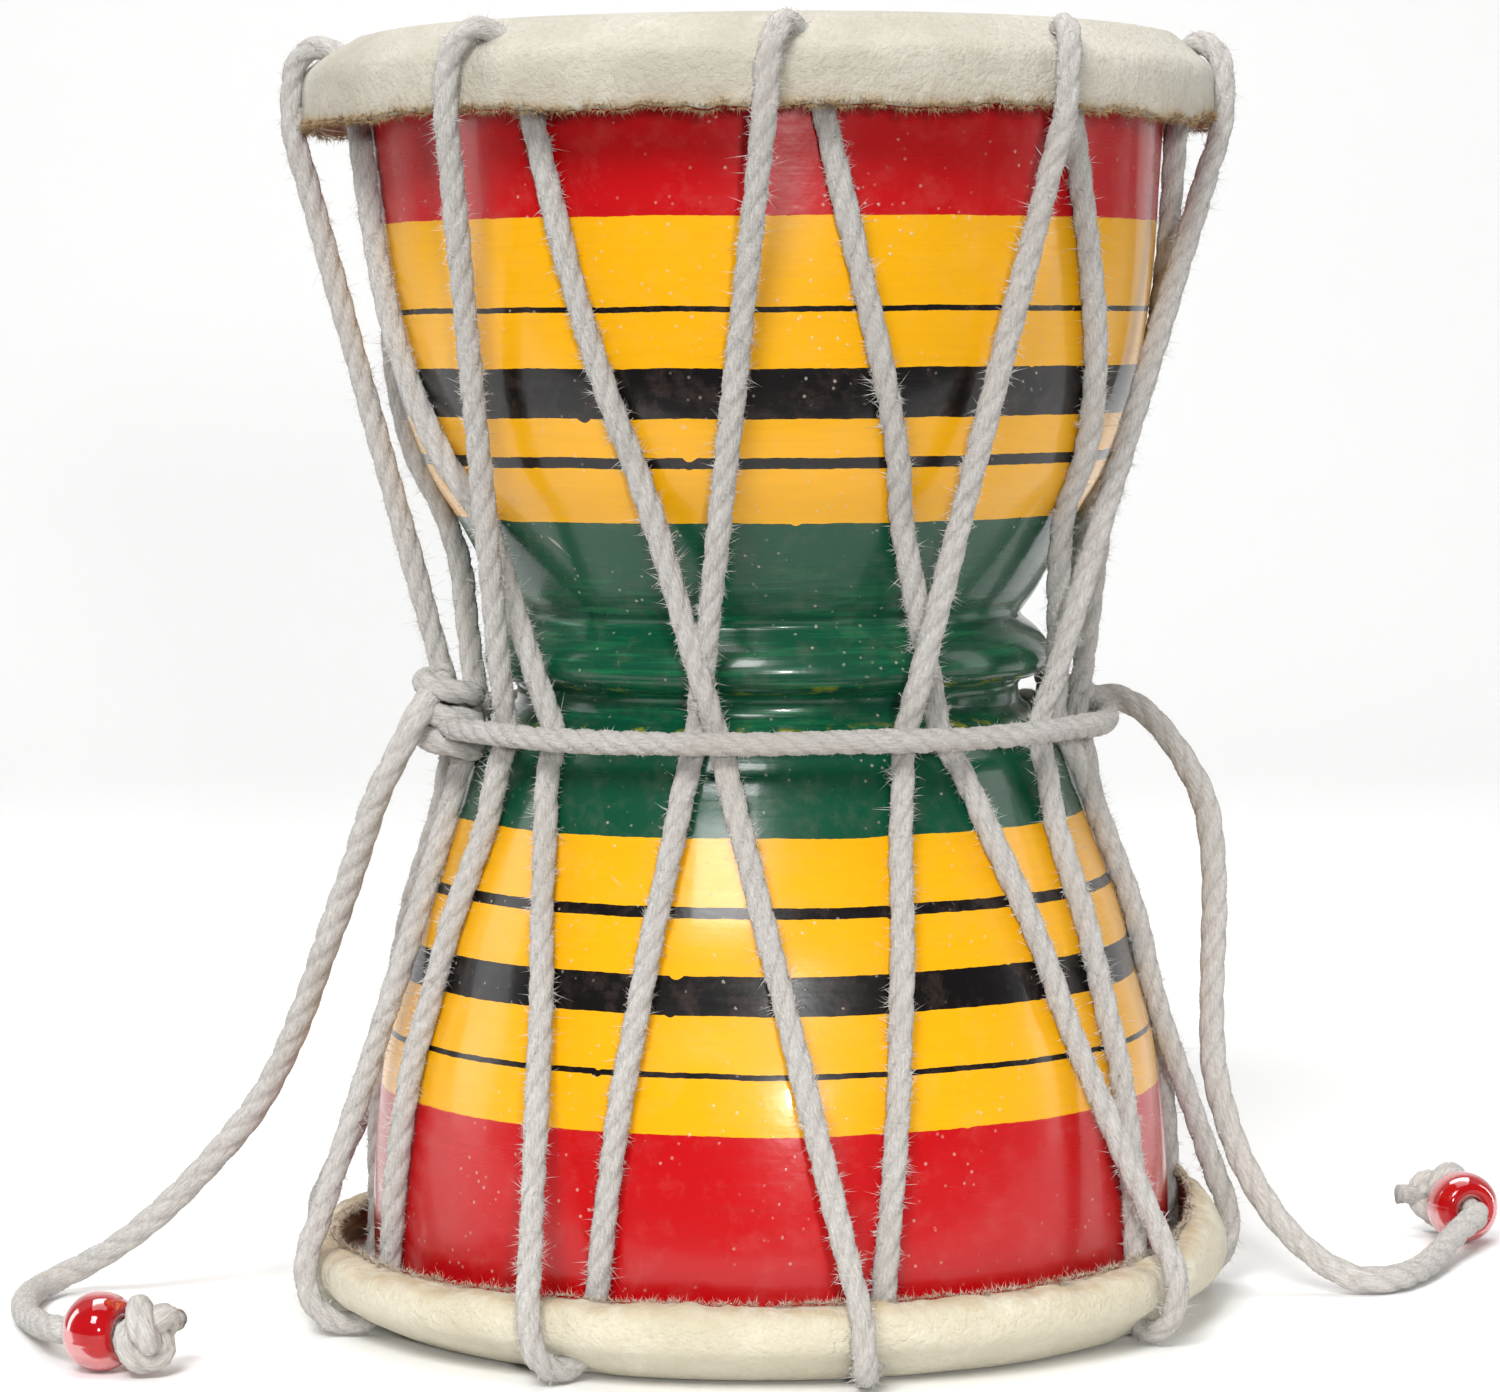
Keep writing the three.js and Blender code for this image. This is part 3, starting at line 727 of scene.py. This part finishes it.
# The lower lap was cut higher towards the right, and that part leans in under the rope
RISE_AT = 105  # degrees round the axis
RISE_SPREAD = 32
RISE_FROM = 6  # height where the lap starts to be longer
HOOP_TOP = 8.3
LAP_LEAN = 0.45
TURN_IN_LEAN = 0.12


def hide_finish(name, pale, dark, edge_colour):
    material, surface, place = start_finish(name, Roughness=0.93, Sheen_Weight=0.2)
    surface.inputs["Specular IOR Level"].default_value = 0.2
    edge = place.node("Attribute", {}, 2, attribute_name="cut_edge")
    patches = place.clouds(13 * MM, 4, 0.6)
    suede = place.clouds(0.85 * MM, 4, 0.7)
    colour = patches.between(0.35, 0.68).mix(pale, dark)
    colour = (suede.between(0.4, 0.66) * 0.6).mix(colour, dark)
    colour = (edge * place.clouds(2.5 * MM, 3).between(0.3, 0.6)).mix(colour, edge_colour)
    feed(surface, Base_Color=colour, Normal=relief(suede + patches * 0.6, 0.6 * MM))
    return material


def wave(angle, spread, seed):
    turn = math.radians(angle)
    return noise.noise(Vector((math.cos(turn) * spread, math.sin(turn) * spread, seed)))


# Outer surface from the middle outwards, then the underside back to the middle
def hide_mesh(name, skin, holes, shift, way, seed, material):
    crown, lap, under = skin["crown"], skin["lap"], skin["under"]
    flat = [(r * MM, 0, z * MM) for r, z in crown[-1:] + lap]
    outer = [(r * MM, z * MM) for r, z in crown[1:-1]]
    outer += [(p[0], p[2]) for p in smooth_route(flat, 0.55 * MM)]
    inner = [(r * MM, z * MM) for r, z in under[:-1]]
    profile = outer + inner
    edge_height = lap[-1][1] * MM
    sides = 420
    rings, edges = [], []
    for i in range(sides):
        angle = 360 * i / sides
        ragged = 0.75 * wave(angle, 3, seed) + 0.5 * wave(angle, 14, seed + 1) + 0.3 * wave(angle, 45, seed + 2)
        rise = skin["rise"] * math.exp(-(((angle - RISE_AT) / RISE_SPREAD) ** 2))
        nearest = min(abs((angle - hole + 180) % 360 - 180) for hole in holes)
        pinch = math.exp(-((nearest / 2.6) ** 2))
        ring, edge = [], []
        for j, (radius, height) in enumerate(profile):
            point = polar(angle, radius / MM, height / MM)
            drop = max(0, 1 - abs(height - edge_height) / (4.5 * MM)) if radius > 52.5 * MM else 0
            lump = noise.noise(point * 90 + Vector((seed, 0, 0))) * 0.3 + noise.noise(point * 420) * 0.14
            lump += noise.noise(point * 1300) * 0.06
            lump += 0.25 - 0.6 * pinch if radius > 48.5 * MM else 0
            share = min(1, max(0, (radius / MM - 46) / 7))
            if j >= len(outer):
                lump = min(0, lump) * 0.5
            out = Vector((point.x, point.y, 0)).normalized()
            point += out * lump * share * MM
            point.z += -way * ragged * drop * MM + way * lump * share * (1 - share) * MM
            if radius > 51.5 * MM and skin["rise"]:
                point.z += min(1, max(0, height / MM - RISE_FROM) / 2.55) * rise * MM
                lean = LAP_LEAN if radius > 53 * MM else TURN_IN_LEAN
                point -= out * max(0, point.z - HOOP_TOP * MM) * lean
            point.z = max(point.z, 0)
            ring.append(follow_hoop(point, shift))
            edge.append(math.exp(-abs(height - edge_height) / (0.9 * MM)) if radius > 52.5 * MM else 0)
        rings.append([tuple(p) for p in ring])
        edges.append(edge)
    rings = np.array(rings)
    count, corners = rings.shape[:2]
    verts = rings.reshape(-1, 3).tolist()
    number = np.arange(count * corners).reshape(count, corners)
    following = np.roll(number, -1, axis=0)
    quads = np.stack([number[:, :-1], number[:, 1:], following[:, 1:], following[:, :-1]], axis=-1)
    faces = quads.reshape(-1, 4).tolist()
    middles = [(0, 0, crown[0][1] * MM), (0, 0, under[-1][1] * MM)]
    for middle, column in zip(middles, (0, corners - 1)):
        faces += [(len(verts), a, b) for a, b in zip(number[:, column].tolist(), following[:, column].tolist())]
        verts.append(middle)
    mesh = bpy.data.meshes.new(name)
    mesh.from_pydata(verts, [], faces)
    mesh.shade_smooth()
    mesh.materials.append(material)
    mark(mesh, "cut_edge", np.append(np.array(edges).ravel(), [0, 0]))
    return mesh, rings[:, len(outer) - 1]


grey_hide = hide_finish("grey_hide", rgb(0.58, 0.55, 0.47), rgb(0.44, 0.405, 0.33), rgb(0.34, 0.22, 0.09))
cream_hide = hide_finish("cream_hide", rgb(0.70, 0.66, 0.53), rgb(0.56, 0.51, 0.38), rgb(0.5, 0.4, 0.24))
top_mesh, top_edge = hide_mesh("top_hide_mesh", TOP_SKIN, TOP_HOLES, TOP_LAP_SHIFT, 1, 11, grey_hide)
low_mesh, low_edge = hide_mesh("low_hide_mesh", LOW_SKIN, LOW_HOLES, LOW_LAP_SHIFT, -1, 23, cream_hide)
add_piece("top_hide", top_mesh, "grey_hide", "top_head")
add_piece("low_hide", low_mesh, "cream_hide", "bottom_head")


# Short hair and torn fibres along the cut edges
def hair_finish(name, root, tip):
    material, surface, place = start_finish(name, Roughness=0.85)
    feed(surface, Base_Color=place.clouds(1.5 * MM).between(0.35, 0.65).mix(root, tip))
    return material


brown_hair = hair_finish("brown_hide_hair", rgb(0.16, 0.085, 0.03), rgb(0.5, 0.37, 0.2))
pale_hair = hair_finish("pale_hide_hair", rgb(0.42, 0.32, 0.2), rgb(0.68, 0.63, 0.52))
for name, edge, hair, slot in (
    ("top_fringe", top_edge, brown_hair, "grey_hide"), ("low_fringe", low_edge, pale_hair, "cream_hide"),
):
    fringe = fuzz_mesh(f"{name}_mesh", edge, hair, 45, 1.25 * MM, 31, 0.35 * MM, True)
    add_piece(name, fringe, slot)

# ---- Waist cord ----------------------------------------------------------------------
# A second length of the same rope, drawn once round all the legs and knotted at each side.
WAIST_RING = 41.1


def waist_route():
    points = []
    for i in range(60):
        angle = 6 * i + 180
        height = WAIST_HEIGHT + 0.5 * wave(angle, 2, 4)
        points.append(polar(angle, WAIST_RING - 0.15 + 0.3 * wave(angle, 5, 9), height))
    return smooth_route(points, RING_STEP, True)


waist = waist_route()
waist_mesh = rope_mesh("waist_cord_mesh", waist, cotton, True, lay=9 * MM)
add_piece("waist_rope", waist_mesh, "cotton_cord", "waist_cord")
add_piece("waist_fuzz", fuzz_mesh("waist_fuzz_mesh", waist, lint, 16, 0.95 * MM, 5, closed=True), "cotton_cord")


# Turns of the cord's end round the two legs beside it, one above the other
def wound_knot(middle, reach, top, turns):
    points = []
    for i in range(12 * turns + 1):
        turn = 2 * math.pi * i / 12
        points.append(Vector((
            middle[0] - reach * math.sin(turn), middle[1] + reach * math.cos(turn), top - 3.15 * i / 12,
        )) * MM)
    return smooth_route(points, RING_STEP)


KNOTS = {"left": ((-37.6, -13.4), 2.9, 77.1, 3), "right": ((37.4, 23.4), 2.4, 74.6, 2)}
for hand, (middle, reach, top, turns) in KNOTS.items():
    route = wound_knot(middle, reach, top, turns)
    knot_mesh = rope_mesh(f"waist_knot_{hand}_mesh", route, cotton, lay=9 * MM, radius=1.5 * MM)
    add_piece(f"waist_knot_{hand}", knot_mesh, "cotton_cord")
    fluff = fuzz_mesh(f"waist_knot_fuzz_{hand}_mesh", route, lint, 16, 0.9 * MM, 13)
    add_piece(f"waist_knot_fuzz_{hand}", fluff, "cotton_cord")
